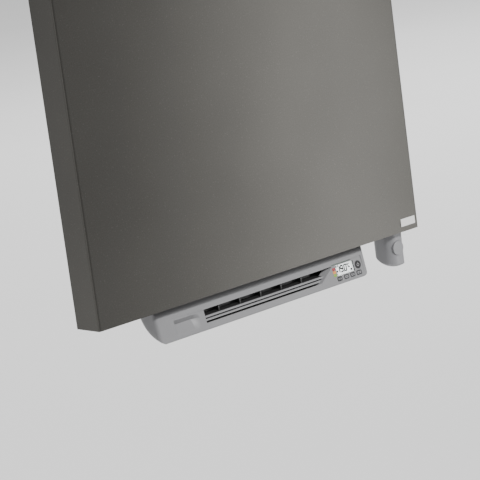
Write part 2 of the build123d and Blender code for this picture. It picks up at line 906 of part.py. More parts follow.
# Housing: the rest of the shell, with towers for the fascia screws and rails for the filter
rail_depth = body_back + filter_gap + filter_thick + filter_gap
with BuildPart() as module_housing:
    add(module_outside)
    add(module_inside, mode=Mode.SUBTRACT)
    with BuildSketch(front.offset(-(face_depth(tower_height) + fascia_depth))):
        with Locations([(x, tower_height) for x in tower_xs]):
            Circle(tower_radius)
    extrude(amount=-(body_back - shell / 2 - face_depth(tower_height) - fascia_depth))
    with BuildSketch(front.offset(-(power_board_depth + board_thick))):
        for x in (power_board_left + 2 * standoff_radius, power_board_right - 2 * standoff_radius):
            for height in (power_board_bottom + 2 * standoff_radius, power_board_top - 2 * standoff_radius):
                with Locations((x, height)):
                    Circle(standoff_radius)
    extrude(amount=-(body_back - shell / 2 - power_board_depth - board_thick))
    add(fascia_zone.part, mode=Mode.SUBTRACT)
    add(module_outside, mode=Mode.INTERSECT)
    with BuildSketch(plan.offset(filter_bottom)):
        with Locations((filter_half + filter_gap, body_back)):
            Rectangle(rail_wall, rail_depth - body_back + rail_wall, align=(Align.MIN, Align.MIN))
        with Locations((filter_half + filter_gap + rail_wall, rail_depth)):
            Rectangle(rail_wall + rail_lip, rail_wall, align=(Align.MAX, Align.MIN))
        mirror(about=Plane.YZ)
    extrude(amount=filter_top - filter_bottom)
    with BuildSketch(front.offset(-(body_back - shell))):
        with Locations((0, (intake_bottom + intake_top) / 2)):
            Rectangle(2 * intake_half, intake_top - intake_bottom)
        with Locations((gland_x, gland_z)):
            Circle(gland_thread + thread_gap)
        with Locations([(x, tower_height) for x in tower_xs]):
            Circle(tower_bore)
    extrude(amount=-shell, mode=Mode.SUBTRACT)
    with BuildSketch(front.offset(-(face_depth(tower_height) + fascia_depth))):
        with Locations([(x, tower_height) for x in tower_xs]):
            Circle(tower_bore)
    extrude(amount=-body_back, mode=Mode.SUBTRACT)
    with BuildSketch(front.offset(-body_back)):
        with Locations([(x, tower_height) for x in tower_xs]):
            Circle(tower_head_radius + thread_gap)
    extrude(amount=tower_head, mode=Mode.SUBTRACT)
    with BuildSketch(section.offset(module_half)):
        with Locations((link_depth, link_height)):
            Circle(link_radius + link_gap)
    extrude(amount=-shell, mode=Mode.SUBTRACT)
    with BuildSketch(plan.offset(module_top)):
        with Locations([(x, depth) for x in (-hang_x, hang_x) for depth in hang_screws]):
            Circle(screw_radius + thread_gap)
    extrude(amount=-shell, mode=Mode.SUBTRACT)
finish(module_housing, "module_housing")

# Screws that hold the fascia, in from the back through the towers
tower_front = face_depth(tower_height) + fascia_depth
with BuildPart() as fascia_screws:
    with BuildSketch(front.offset(-(tower_front - tower_bite + key_gap))):
        with Locations([(x, tower_height) for x in tower_xs]):
            Circle(tower_screw)
    extrude(amount=-(body_back - tower_front + tower_bite - key_gap))
    with BuildSketch(front.offset(-body_back)):
        with Locations([(x, tower_height) for x in tower_xs]):
            Circle(tower_head_radius)
    extrude(amount=tower_head)
finish(fascia_screws, "fascia_screws")


# Outlet grille: two sloping slats, upright ribs set back, and top and bottom bars
def slat_line(top):
    near = floor_depth(top) + slat_setback
    Polyline(
        (near, top),
        (near + slat_depth, top + slat_rise),
        (near + slat_depth, top + slat_rise - slat_thick),
        (near + slat_lip, top + slat_rise * slat_lip / slat_depth - slat_thick - slat_edge),
        (floor_depth(top - slat_lip) + slat_setback, top - slat_lip),
        close=True,
    )


grille_left = outlet_left + grille_gap
grille_run = outlet_right_top - grille_left
rib_near = floor_depth(strip_bottom) + rib_setback
bar_top = strip_bottom + bar_thick
bar_near = face_depth(bar_top) + shell + 2 * grille_gap
flare_run = (outlet_right_top - outlet_right_bottom) / (strip_bottom - outlet_bottom)
with BuildPart() as grille_limit:
    with BuildSketch(control.offset(shell)):
        high = strip_bottom + 2 * bar_thick
        low = outlet_bottom - 2 * bar_thick
        with BuildLine():
            Polyline(
                (outlet_right_top + flare_run * (high - strip_bottom) - flare_gap, up(high)),
                (2 * outlet_right_top, up(high)),
                (2 * outlet_right_top, up(low)),
                (outlet_right_bottom + flare_run * (low - outlet_bottom) - flare_gap, up(low)),
                close=True,
            )
        make_face()
    extrude(amount=3 * sqrt(flare_shift**2 + flare_depth**2), dir=flare_way)

with BuildPart() as outlet_grille:
    with BuildSketch(section.offset(grille_left)):
        for top in slat_tops:
            with BuildLine():
                slat_line(top)
            make_face()
        with Locations((bar_near, strip_bottom)):
            Rectangle(rib_depth, bar_thick, align=(Align.MIN, Align.MIN))
        with Locations((bar_near - sill_depth, outlet_bottom)):
            Rectangle(rib_depth + sill_depth, bar_thick, align=(Align.MIN, Align.MAX))
    extrude(amount=grille_run)
    rib_xs = [rib_middle + rib_pitch * (i - (rib_count - 1) / 2) for i in range(rib_count)]
    for x in rib_xs + [grille_left + rib_thick / 2]:
        with BuildSketch(section.offset(x - rib_thick / 2)):
            with BuildLine():
                Polyline(
                    (bar_near, bar_top),
                    (bar_near + rib_depth, bar_top),
                    (bar_near + rib_depth, outlet_bottom - bar_thick),
                    (rib_near, outlet_bottom - bar_thick),
                    (rib_near, strip_bottom - shell),
                    (bar_near, strip_bottom - shell / 2),
                    close=True,
                )
            make_face()
        extrude(amount=rib_thick)
    add(grille_limit.part, mode=Mode.SUBTRACT)
finish(outlet_grille, "outlet_grille")

# Display: clear window seated from behind, with the display block between it and the board
with BuildPart() as display_window:
    with BuildSketch(control.offset(-window_sunk)):
        with Locations((controls_x, window_level)):
            Rectangle(window_width - 2 * lcd_gap, window_height - 2 * lcd_gap)
    extrude(amount=-window_thick)
    with BuildSketch(control.offset(-window_sunk - window_thick)):
        with Locations((controls_x + window_flange / 2, window_level + window_flange / 2)):
            Rectangle(window_width + window_flange, window_height + window_flange)
    extrude(amount=-window_flange)
finish(display_window, "display_window")

lcd_face = window_sunk + window_thick + window_flange + lcd_gap
with BuildPart() as lcd_panel:
    with BuildSketch(control.offset(-lcd_face)):
        with Locations((controls_x + window_flange / 2, window_level + window_flange / 2)):
            Rectangle(window_width + window_flange, window_height + window_flange)
    extrude(amount=-(control_board_depth - lcd_face))
finish(lcd_panel, "lcd_panel")


# Coloured scale: three light pipes
def scale_pipe(height):
    with BuildPart() as pipe:
        with BuildSketch(control.offset(scale_proud)):
            with Locations((scale_x, up(height))):
                Rectangle(scale_width, scale_height)
        extrude(amount=-(control_board_depth + scale_proud - key_gap))
    return pipe


for name, height in zip(("red", "amber", "green"), scale_heights):
    finish(scale_pipe(height), f"scale_{name}")


# Buttons: cap, ears behind the fascia, and a stem that ends above its switch
def button(x, level, width, ear_width, ear_height, round_cap):
    with BuildPart() as key:
        with BuildSketch(control.offset(button_proud)):
            with Locations((x, level)):
                if round_cap:
                    Circle(width / 2)
                else:
                    RectangleRounded(width, button_height, button_corner)
        extrude(amount=-(button_proud + button_body))
        with BuildSketch(control.offset(-button_body)):
            with Locations((x, level)):
                Rectangle(ear_width, ear_height)
        extrude(amount=-ear)
        with BuildSketch(control.offset(-button_body - ear)):
            with Locations((x, level)):
                Circle(stem_radius)
        extrude(amount=-stem_length)
    return key


for name, (x, level, width) in zip(("menu", "minus", "plus", "ok"), button_places):
    finish(button(x, level, width, width + 2 * ear, button_height - 2 * ear, False), f"button_{name}")
standby_size = 2 * standby_radius
standby_button = button(
    standby_x, up(standby_z), standby_size, standby_radius, standby_size + 2 * ear, True
)
finish(standby_button, "standby_button")

# Control board with its key switches, and the screws that hold it
switch_top = button_body + ear + stem_length + press_room
with BuildPart() as control_board:
    with BuildSketch(control.offset(-control_board_depth)):
        with Locations(((board_left + board_right) / 2, (up(board_top) + up(board_bottom)) / 2)):
            Rectangle(board_right - board_left, up(board_top) - up(board_bottom))
        with Locations([(x, up(height)) for x, height in post_places]):
            Circle(small_screw_radius + thread_gap, mode=Mode.SUBTRACT)
    extrude(amount=-board_thick)
    with BuildSketch(control.offset(-control_board_depth)):
        switch_places = [(x, level) for x, level, width in button_places]
        with Locations(switch_places + [(standby_x, up(standby_z))]):
            Rectangle(key_switch, key_switch)
    extrude(amount=control_board_depth - switch_top)
finish(control_board, "control_board")

with BuildPart() as board_screws:
    with BuildSketch(control.offset(-control_board_depth - board_thick)):
        with Locations([(x, up(height)) for x, height in post_places]):
            Circle(small_screw_radius - thread_gap)
    extrude(amount=board_thick + control_board_depth / 2 - key_gap)
    with BuildSketch(control.offset(-control_board_depth - board_thick)):
        with Locations([(x, up(height)) for x, height in post_places]):
            Circle(2 * small_screw_radius)
    extrude(amount=-small_screw_radius)
finish(board_screws, "board_screws")

# Cross-flow impeller: end and middle discs with blades between them
with BuildPart() as impeller:
    for x in (fan_left, -disc_thick / 2, fan_right - disc_thick):
        with BuildSketch(section.offset(x)):
            with Locations((fan_depth, fan_height)):
                Circle(fan_radius)
                Circle(shaft_radius + thread_gap, mode=Mode.SUBTRACT)
        extrude(amount=disc_thick)
    with BuildSketch(section.offset(fan_left)):
        with Locations((fan_depth, fan_height)):
            with PolarLocations(fan_radius - blade_width / 2, blade_count):
                Rectangle(blade_width, blade_thick, rotation=blade_turn)
    extrude(amount=fan_right - fan_left)
finish(impeller, "impeller")

bearing_x = fan_left - end_plate_gap - end_plate
motor_plate_x = fan_right + end_plate_gap
with BuildPart() as fan_shaft:
    with BuildSketch(section.offset(bearing_x)):
        with Locations((fan_depth, fan_height)):
            Circle(shaft_radius)
    extrude(amount=motor_plate_x + end_plate + shaft_in_motor - bearing_x)
finish(fan_shaft, "fan_shaft")


# End plates: cross walls of the housing that carry the bush and the motor
def cross_wall(x, hole_radius):
    with BuildPart() as wall:
        add(module_inside)
        with BuildSketch(section.offset(x)):
            with Locations((body_back, module_top)):
                Rectangle(body_back - body_front, fan_height, align=(Align.MAX, Align.MAX))
                Rectangle(
                    body_back - body_front, module_top - heater_base - heater_height - frame_gap,
                    align=(Align.MAX, Align.MAX),
                )
            with Locations((fan_depth, fan_height)):
                Circle(hole_radius, mode=Mode.SUBTRACT)
        extrude(amount=end_plate, mode=Mode.INTERSECT)
    return wall


finish(cross_wall(bearing_x, bush_radius + thread_gap), "bearing_plate")
finish(cross_wall(motor_plate_x, shaft_radius + key_gap), "motor_plate")

with BuildPart() as impeller_bush:
    with BuildSketch(section.offset(bearing_x)):
        with Locations((fan_depth, fan_height)):
            Circle(bush_radius)
            Circle(shaft_radius + run_gap, mode=Mode.SUBTRACT)
    extrude(amount=end_plate)
finish(impeller_bush, "impeller_bush")

with BuildPart() as fan_motor:
    with BuildSketch(section.offset(motor_plate_x + end_plate)):
        with Locations((fan_depth, fan_height)):
            Circle(motor_radius)
    extrude(amount=motor_length)
    with BuildSketch(section.offset(motor_plate_x + end_plate)):
        with Locations((fan_depth, fan_height)):
            Circle(shaft_radius + run_gap)
    extrude(amount=shaft_in_motor + end_plate, mode=Mode.SUBTRACT)
finish(fan_motor, "fan_motor")

# Heater: finned block in its frame, under the impeller
heater_y = (body_front + body_back) / 2
with BuildPart() as ptc_heater:
    with BuildSketch(plan.offset(heater_base)):
        with Locations((0, heater_y)):
            Rectangle(heater_length, heater_depth)
            gaps = int((heater_length - 2 * fin_thick) / fin_pitch)
            with GridLocations(fin_pitch, 0, gaps, 1):
                Rectangle(fin_pitch - fin_thick, heater_depth - 2 * heater_bar, mode=Mode.SUBTRACT)
    extrude(amount=heater_height)
finish(ptc_heater, "ptc_heater")

with BuildPart() as ptc_frame:
    with BuildSketch(plan.offset(heater_base)):
        with Locations((0, heater_y)):
            inner_depth = body_back - body_front - 2 * shell
            Rectangle(heater_length + inner_depth - heater_depth, inner_depth - 2 * frame_gap)
            Rectangle(heater_length + 2 * frame_gap, heater_depth + 2 * frame_gap, mode=Mode.SUBTRACT)
    extrude(amount=heater_height)
finish(ptc_frame, "ptc_frame")

with BuildPart() as thermal_cutout:
    with BuildSketch(plan.offset(heater_base + heater_height)):
        with Locations((cutout_x, heater_y)):
            Circle(cutout_radius)
    extrude(amount=cutout_height)
finish(thermal_cutout, "thermal_cutout")

# Air guide: channel from the heater down to the outlet
with BuildPart() as air_guide:
    add(module_inside)
    with BuildSketch(section.offset(guide_left)):
        with BuildLine():
            Polyline(
                (bar_near + rib_depth + grille_gap, strip_bottom + bar_thick),
                (body_front + shell + guide_wall, heater_base - frame_gap),
                (body_back, heater_base - frame_gap),
                (body_back, module_bottom),
                (bar_near + rib_depth + grille_gap, module_bottom),
                close=True,
            )
        make_face()
    extrude(amount=guide_right - guide_left, mode=Mode.INTERSECT)
    hollow_faces = [
        air_guide.faces().sort_by(Axis.Z)[-1],
        air_guide.faces().filter_by(Plane.XZ).sort_by(Axis.Y)[0],
    ]
    offset(amount=-guide_wall, openings=hollow_faces)
finish(air_guide, "air_guide")

# Power board on the housing's standoffs, with its parts and the mains terminal
board_middle = (power_board_left + power_board_right) / 2
with BuildPart() as power_board:
    with BuildSketch(front.offset(-power_board_depth)):
        with Locations((board_middle, (power_board_bottom + power_board_top) / 2)):
            Rectangle(power_board_right - power_board_left, power_board_top - power_board_bottom)
    extrude(amount=-board_thick)
finish(power_board, "power_board")

with BuildPart() as board_parts:
    with BuildSketch(front.offset(-power_board_depth)):
        with Locations((power_board_left + relay_width, power_board_top - relay_height)):
            Rectangle(relay_width, relay_height)
    extrude(amount=relay_thick)
    with BuildSketch(front.offset(-power_board_depth)):
        with Locations((board_middle + capacitor_radius, power_board_top - 2 * capacitor_radius)):
            Circle(capacitor_radius)
    extrude(amount=capacitor_length)
    with BuildSketch(front.offset(-power_board_depth)):
        with Locations((power_board_right - relay_thick, power_board_top - relay_height)):
            Rectangle(sink_thick, relay_height + relay_thick)
    extrude(amount=relay_width)
finish(board_parts, "board_parts")

with BuildPart() as terminal_block:
    with BuildSketch(front.offset(-power_board_depth)):
        with Locations((board_middle, power_board_bottom + terminal_height)):
            Rectangle(terminal_poles * terminal_pitch, terminal_height)
    extrude(amount=terminal_height)
    with BuildSketch(front.offset(terminal_height - power_board_depth)):
        with Locations((board_middle, power_board_bottom + terminal_height)):
            with GridLocations(terminal_pitch, 0, terminal_poles, 1):
                Circle(terminal_pitch / 4)
    extrude(amount=-terminal_height / 2, mode=Mode.SUBTRACT)
finish(terminal_block, "terminal_block")

# Cable gland through the rear wall, and its locknut inside
gland_length = gland_dome + gland_flange + shell + 2 * gland_nut_thick
with BuildPart() as cable_gland:
    with BuildSketch(front.offset(-body_back)):
        with Locations((gland_x, gland_z)):
            RegularPolygon(gland_flange_radius, 6)
    extrude(amount=-gland_flange)
    with BuildSketch(front.offset(-body_back - gland_flange)):
        with Locations((gland_x, gland_z)):
            Circle(gland_dome_radius)
    extrude(amount=-gland_dome)
    fillet(cable_gland.edges().sort_by(Axis.Y)[-1], radius=gland_dome_radius - gland_bore - 1)
    with BuildSketch(front.offset(-body_back)):
        with Locations((gland_x, gland_z)):
            Circle(gland_thread)
    extrude(amount=shell + 2 * gland_nut_thick)
    with BuildSketch(front.offset(-body_back - gland_flange - gland_dome)):
        with Locations((gland_x, gland_z)):
            Circle(gland_bore)
    extrude(amount=gland_length, mode=Mode.SUBTRACT)
finish(cable_gland, "cable_gland")

with BuildPart() as gland_nut:
    with BuildSketch(front.offset(-body_back + shell)):
        with Locations((gland_x, gland_z)):
            RegularPolygon(gland_flange_radius, 6)
            Circle(gland_thread + thread_gap, mode=Mode.SUBTRACT)
    extrude(amount=gland_nut_thick)
finish(gland_nut, "gland_nut")

# Link cable from the module to the control head
link_left = module_half - 2 * shell
link_right = collector_x - head_width / 2 + 2 * head_wall
with BuildPart() as link_cable:
    with BuildSketch(section.offset(link_left)):
        with Locations((link_depth, link_height)):
            Circle(link_radius)
    extrude(amount=link_right - link_left)
finish(link_cable, "link_cable")

# Intake grille in the rear window
with BuildPart() as intake_grille:
    with BuildSketch(front.offset(-(body_back - shell))):
        with Locations((0, (intake_bottom + intake_top) / 2)):
            width = 2 * (intake_half - thread_gap)
            height = intake_top - intake_bottom - 2 * thread_gap
            Rectangle(width, height)
            Rectangle(width - 2 * intake_bar, height - 2 * intake_bar, mode=Mode.SUBTRACT)
            with GridLocations(2 * intake_half / intake_bars, 0, intake_bars - 1, 1):
                Rectangle(intake_bar, height)
            Rectangle(width, intake_bar)
    extrude(amount=-shell)
finish(intake_grille, "intake_grille")

# Dust filter: frame with a pull at its lower edge, and the mesh in it
filter_y = body_back + filter_gap
filter_middle = (filter_bottom + filter_top) / 2
mesh_width = 2 * (filter_half - filter_rim)
mesh_height = filter_top - filter_bottom - 2 * filter_rim
with BuildPart() as filter_frame:
    with BuildSketch(front.offset(-filter_y)):
        with Locations((0, filter_middle)):
            Rectangle(2 * filter_half, filter_top - filter_bottom)
            Rectangle(mesh_width, mesh_height, mode=Mode.SUBTRACT)
    extrude(amount=-filter_thick)
    with BuildSketch(front.offset(-filter_y)):
        with Locations((0, filter_bottom)):
            Rectangle(pull_width, shell, align=(Align.CENTER, Align.MIN))
    extrude(amount=-(filter_thick + pull_depth))
finish(filter_frame, "filter_frame")

with BuildPart() as filter_mesh:
    with BuildSketch(front.offset(-(filter_y + (filter_thick - mesh_thick) / 2))):
        with Locations((0, filter_middle)):
            Rectangle(mesh_width, mesh_height)
            column = mesh_width / mesh_columns
            row = mesh_height / mesh_rows
            with GridLocations(column, row, mesh_columns, mesh_rows):
                Rectangle(column - mesh_bar, row - mesh_bar, mode=Mode.SUBTRACT)
    extrude(amount=-mesh_thick)
finish(filter_mesh, "filter_mesh")

# Brackets that hang the module from the lowest heating tube
with BuildPart() as module_brackets:
    for x in (-hang_x, hang_x):
        with BuildSketch(section.offset(x - hang_width / 2)):
            with Locations((tube_back, module_top)):
                Rectangle(hang_sheet, hang_rise, align=(Align.MIN, Align.MIN))
                Rectangle(hang_screws[1] + hang_edge - tube_back, hang_sheet, align=(Align.MIN, Align.MIN))
        extrude(amount=hang_width)
    with BuildSketch(plan.offset(module_top)):
        with Locations([(x, depth) for x in (-hang_x, hang_x) for depth in hang_screws]):
            Circle(screw_radius + thread_gap)
    extrude(amount=hang_sheet, mode=Mode.SUBTRACT)
finish(module_brackets, "module_brackets")

with BuildPart() as module_screws:
    with BuildSketch(plan.offset(module_top + hang_sheet)):
        with Locations([(x, depth) for x in (-hang_x, hang_x) for depth in hang_screws]):
            Circle(screw_head_radius)
    extrude(amount=screw_head)
    with BuildSketch(plan.offset(module_top + hang_sheet)):
        with Locations([(x, depth) for x in (-hang_x, hang_x) for depth in hang_screws]):
            Circle(screw_radius)
    extrude(amount=-screw_length)
finish(module_screws, "module_screws")
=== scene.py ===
import json
from math import atan2, cos, pi, radians, sin

import bmesh
import bpy
from mathutils import Matrix, Vector


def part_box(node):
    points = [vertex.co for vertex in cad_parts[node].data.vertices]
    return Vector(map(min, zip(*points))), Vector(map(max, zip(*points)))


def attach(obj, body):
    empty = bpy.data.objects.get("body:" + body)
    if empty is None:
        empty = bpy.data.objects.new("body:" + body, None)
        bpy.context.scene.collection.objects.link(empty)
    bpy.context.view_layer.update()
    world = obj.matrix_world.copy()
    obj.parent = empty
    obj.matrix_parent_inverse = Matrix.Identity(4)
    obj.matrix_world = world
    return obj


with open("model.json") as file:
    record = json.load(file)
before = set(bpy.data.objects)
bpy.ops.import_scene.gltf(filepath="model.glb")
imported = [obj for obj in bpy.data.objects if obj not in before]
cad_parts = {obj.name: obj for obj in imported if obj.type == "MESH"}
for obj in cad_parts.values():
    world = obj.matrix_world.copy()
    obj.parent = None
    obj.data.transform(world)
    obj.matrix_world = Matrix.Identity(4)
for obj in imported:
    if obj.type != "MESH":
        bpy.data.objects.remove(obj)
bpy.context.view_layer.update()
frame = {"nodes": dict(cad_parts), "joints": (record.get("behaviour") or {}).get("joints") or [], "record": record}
nodes = frame["nodes"]
mm = 0.001

# The photograph's camera, in degrees, metres and pixels of its 480-pixel frame
azimuth = -41.857
elevation = 11.046
roll = -7.591
camera_distance = 2.8708
focal_pixels = 2162.45
frame_pixels = 480
sensor_mm = 36
view_depth = 60

# The camera looks at a point on the panel's front, from its lower left corner
panel_low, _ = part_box("front_panel")
aim_from_left = 0.254953
aim_over_edge = 0.060131
aim = Vector((panel_low.x + aim_from_left, panel_low.y, panel_low.z + aim_over_edge))


def make_camera():
    turn = radians(azimuth)
    rise = radians(elevation)
    back = Vector((sin(turn) * cos(rise), -cos(turn) * cos(rise), sin(rise)))
    level_right = (-back).cross(Vector((0, 0, 1))).normalized()
    level_up = level_right.cross(-back)
    twist = radians(roll)
    right = cos(twist) * level_right + sin(twist) * level_up
    up = -sin(twist) * level_right + cos(twist) * level_up
    data = bpy.data.cameras.new("camera")
    data.sensor_width = sensor_mm
    data.lens = focal_pixels / frame_pixels * sensor_mm
    data.clip_end = view_depth
    camera = bpy.data.objects.new("camera", data)
    axes = Matrix((right, up, back)).transposed().to_4x4()
    camera.matrix_world = Matrix.Translation(aim + back * camera_distance) @ axes
    bpy.context.scene.collection.objects.link(camera)
    bpy.context.scene.camera = camera


# Parts of materials. Colours are linear, and textures run on object coordinates in metres.
bump_depth = 0.1 * mm
noise_range = (0.3, 0.7)


def new_material(name):
    material = bpy.data.materials.new(name)
    material.use_nodes = True
    tree = material.node_tree
    return material, tree, tree.nodes["Principled BSDF"]


def coordinates(tree, stretch=(1, 1, 1)):
    source = tree.nodes.new("ShaderNodeTexCoord")
    mapping = tree.nodes.new("ShaderNodeMapping")
    mapping.inputs["Scale"].default_value = stretch
    tree.links.new(source.outputs["Object"], mapping.inputs["Vector"])
    return mapping.outputs["Vector"]


def noise(tree, vector, scale, detail, roughness=0.5):
    node = tree.nodes.new("ShaderNodeTexNoise")
    node.inputs["Scale"].default_value = scale
    node.inputs["Detail"].default_value = detail
    node.inputs["Roughness"].default_value = roughness
    tree.links.new(vector, node.inputs["Vector"])
    return node.outputs["Fac"]


def grey(value):
    return (value, value, value)


def tint(color, factor):
    return tuple(min(1, channel * factor) for channel in color)


def ramp(tree, source, low, high, places=noise_range):
    """Colours from low to high, between two values of the source."""
    node = tree.nodes.new("ShaderNodeValToRGB")
    tree.links.new(source, node.inputs["Fac"])
    for element, place, color in zip(node.color_ramp.elements, places, (low, high)):
        element.position = place
        element.color = (*color, 1)
    return node.outputs["Color"]


def shades(tree, source, color, spread):
    """A colour that gets darker and lighter by its spread along the source."""
    return ramp(tree, source, tint(color, 1 - spread), tint(color, 1 + spread))


def bump(tree, shader, height, strength):
    node = tree.nodes.new("ShaderNodeBump")
    node.inputs["Strength"].default_value = strength
    node.inputs["Distance"].default_value = bump_depth
    tree.links.new(height, node.inputs["Height"])
    tree.links.new(node.outputs["Normal"], shader.inputs["Normal"])


# Kinds of material

def plastic(name, color, roughness=0.45, grain=2200, relief=0.12, drift=9, spread=0.05, specular=0.5):
    """Moulded plastic: fine spark texture, slow colour drift and uneven gloss."""
    material, tree, shader = new_material(name)
    vector = coordinates(tree)
    slow = noise(tree, vector, drift, 3)
    fine = noise(tree, vector, grain, 2)
    uneven = 0.05
    gloss = ramp(tree, slow, grey(roughness - uneven), grey(roughness + uneven), (0.25, 0.75))
    tree.links.new(shades(tree, slow, color, spread), shader.inputs["Base Color"])
    tree.links.new(gloss, shader.inputs["Roughness"])
    shader.inputs["Specular IOR Level"].default_value = specular
    bump(tree, shader, fine, relief)
    return material


def metal(name, color, roughness):
    """Drawn or plated metal with fine lines along X."""
    line_scale = (40, 900, 900)
    duller = 0.08
    brighter = 0.06
    material, tree, shader = new_material(name)
    lines = noise(tree, coordinates(tree, line_scale), 1, 3)
    gloss = ramp(tree, lines, grey(roughness - brighter), grey(roughness + duller))
    tree.links.new(shades(tree, lines, color, 0.08), shader.inputs["Base Color"])
    tree.links.new(gloss, shader.inputs["Roughness"])
    shader.inputs["Metallic"].default_value = 1
    bump(tree, shader, lines, 0.08)
    return material


def metallic_paint(name, color, fleck, roughness, metallic):
    """Structured metallic paint: fine orange-peel grain with a few light flecks."""
    grain_spread = 0.14
    drift_spread = 0.06
    rare_flecks = (0.97, 1)
    fleck_strength = 0.2
    uneven = 0.015
    material, tree, shader = new_material(name)
    vector = coordinates(tree)
    slow = noise(tree, vector, 5, 2)
    grain = noise(tree, vector, 600, 3, 0.7)
    flakes = tree.nodes.new("ShaderNodeTexVoronoi")
    flakes.inputs["Scale"].default_value = 900
    tree.links.new(vector, flakes.inputs["Vector"])
    base = shades(tree, grain, color, grain_spread)
    drift = ramp(tree, slow, grey(1 - drift_spread), grey(1 + drift_spread))
    shade = tree.nodes.new("ShaderNodeMix")
    shade.data_type = "RGBA"
    shade.blend_type = "MULTIPLY"
    shade.inputs["Factor"].default_value = 1.0
    tree.links.new(base, shade.inputs["A"])
    tree.links.new(drift, shade.inputs["B"])
    separate = tree.nodes.new("ShaderNodeSeparateColor")
    tree.links.new(flakes.outputs["Color"], separate.inputs["Color"])
    chosen = ramp(tree, separate.outputs["Red"], grey(0), grey(fleck_strength), rare_flecks)
    mix = tree.nodes.new("ShaderNodeMix")
    mix.data_type = "RGBA"
    tree.links.new(chosen, mix.inputs["Factor"])
    tree.links.new(shade.outputs["Result"], mix.inputs["A"])
    mix.inputs["B"].default_value = (*fleck, 1)
    tree.links.new(mix.outputs["Result"], shader.inputs["Base Color"])
    gloss = ramp(tree, grain, grey(roughness - uneven), grey(roughness + uneven))
    tree.links.new(gloss, shader.inputs["Roughness"])
    shader.inputs["Metallic"].default_value = metallic
    bump(tree, shader, grain, 0.12)
    return material


def clear(name):
    """Thin clear plastic with faint smudges."""
    material, tree, shader = new_material(name)
    smudge = noise(tree, coordinates(tree), 60, 3)
    tree.links.new(ramp(tree, smudge, grey(0), grey(0.02)), shader.inputs["Roughness"])
    shader.inputs["Base Color"].default_value = (0.97, 0.98, 0.98, 1)
    shader.inputs["Transmission Weight"].default_value = 1.0
    shader.inputs["IOR"].default_value = 1.01
    shader.inputs["Specular IOR Level"].default_value = 0.1
    return material


def glowing(name, color, strength, spread=0.06):
    """Backlit plastic: lit from behind, a little uneven."""
    material, tree, shader = new_material(name)
    cloud = noise(tree, coordinates(tree), 220, 2)
    light = shades(tree, cloud, color, spread)
    tree.links.new(light, shader.inputs["Base Color"])
    tree.links.new(light, shader.inputs["Emission Color"])
    shader.inputs["Emission Strength"].default_value = strength
    shader.inputs["Roughness"].default_value = 0.35
    return material


def painted_shade_plastic(name, color, shade_color, facing, level, fade_start, fade_end):
    """Moulded plastic with painted shade: it darkens with depth behind a plane at a level along facing, standing
    in for the shade deeper inside.
    """
    material, tree, shader = new_material(name)
    position = coordinates(tree)
    reach = tree.nodes.new("ShaderNodeVectorMath")
    reach.operation = "DOT_PRODUCT"
    tree.links.new(position, reach.inputs[0])
    reach.inputs[1].default_value = facing
    depth = tree.nodes.new("ShaderNodeMapRange")
    depth.inputs["From Min"].default_value = level - fade_start
    depth.inputs["From Max"].default_value = level - fade_end
    tree.links.new(reach.outputs["Value"], depth.inputs["Value"])
    depth_shade = ramp(tree, depth.outputs["Result"], color, shade_color, (0, 1))
    tree.links.new(depth_shade, shader.inputs["Base Color"])
    shader.inputs["Roughness"].default_value = 0.5
    bump(tree, shader, noise(tree, position, 2400, 2), 0.15)
    return material


# Materials of the CAD nodes, by slot
housing_grey = (0.15, 0.15, 0.154)
# Near black of the painted shade deep inside the outlet
outlet_painted_shade = (0.012, 0.012, 0.012)
panel_metal = (0.062, 0.06, 0.055)
panel_fleck = (0.16, 0.155, 0.145)
slot_materials = {
    "panel_finish": metallic_paint("panel_finish", panel_metal, panel_fleck, roughness=0.29, metallic=0.95),
    "tube_paint": metallic_paint("tube_paint", grey(0.05), grey(0.1), roughness=0.5, metallic=0.2),
    "zinc_steel": metal("zinc_steel", (0.55, 0.56, 0.57), roughness=0.34),
    "stainless": metal("stainless", grey(0.6), roughness=0.25),
    "bush_metal": metal("bush_metal", (0.6, 0.42, 0.18), roughness=0.35),
    "motor_can": metal("motor_can", (0.45, 0.45, 0.46), roughness=0.3),
    "heater_fins": metal("heater_fins", (0.6, 0.6, 0.61), roughness=0.35),
    "badge": plastic("badge", (0.55, 0.55, 0.54), roughness=0.3, grain=1200, relief=0.03),
    "seal_rubber": plastic("seal_rubber", grey(0.02), roughness=0.8),
    "housing_plastic": plastic("housing_plastic", housing_grey, roughness=0.5, grain=2400, relief=0.15),
    "head_plastic": plastic("head_plastic", (0.16, 0.16, 0.166), roughness=0.42, grain=2400, relief=0.1),
    "black_plastic": plastic("black_plastic", grey(0.018), roughness=0.5),
    "filter_net": plastic("filter_net", grey(0.03), roughness=0.7, grain=4000, relief=0.3),
    "board_green": plastic("board_green", (0.02, 0.13, 0.05), roughness=0.35, grain=900, relief=0.06),
    "board_part": plastic("board_part", (0.04, 0.04, 0.05), roughness=0.4),
    "key_grey": plastic("key_grey", housing_grey, grain=2400, relief=0.1),
    "key_dark": plastic("key_dark", (0.012, 0.012, 0.013), specular=0.25),
    "window_clear": clear("window_clear"),
    "lcd_white": glowing("lcd_white", (0.85, 0.88, 0.87), strength=1.5, spread=0.02),
    "scale_red": glowing("scale_red", (0.22, 0.002, 0.01), strength=0.08),
    "scale_amber": glowing("scale_amber", (0.5, 0.17, 0.01), strength=0.08),
    "scale_green": glowing("scale_green", (0.14, 0.26, 0.008), strength=0.08),
}

# Materials of the printed signs
ink = plastic("ink", grey(0.002), roughness=0.9, specular=0.0)
key_line = plastic("key_line", (0.018, 0.018, 0.02), roughness=0.6, specular=0.2)
glyph_light = plastic("glyph_light", grey(0.22), roughness=0.4)

# Directions on the leaning control panel. Out is the way the keys come out.
press = next(joint for joint in frame["joints"] if joint["name"] == "menu_press")
out = -Vector(press["axis"]).normalized()
across = Vector((1, 0, 0))
along = out.cross(across)


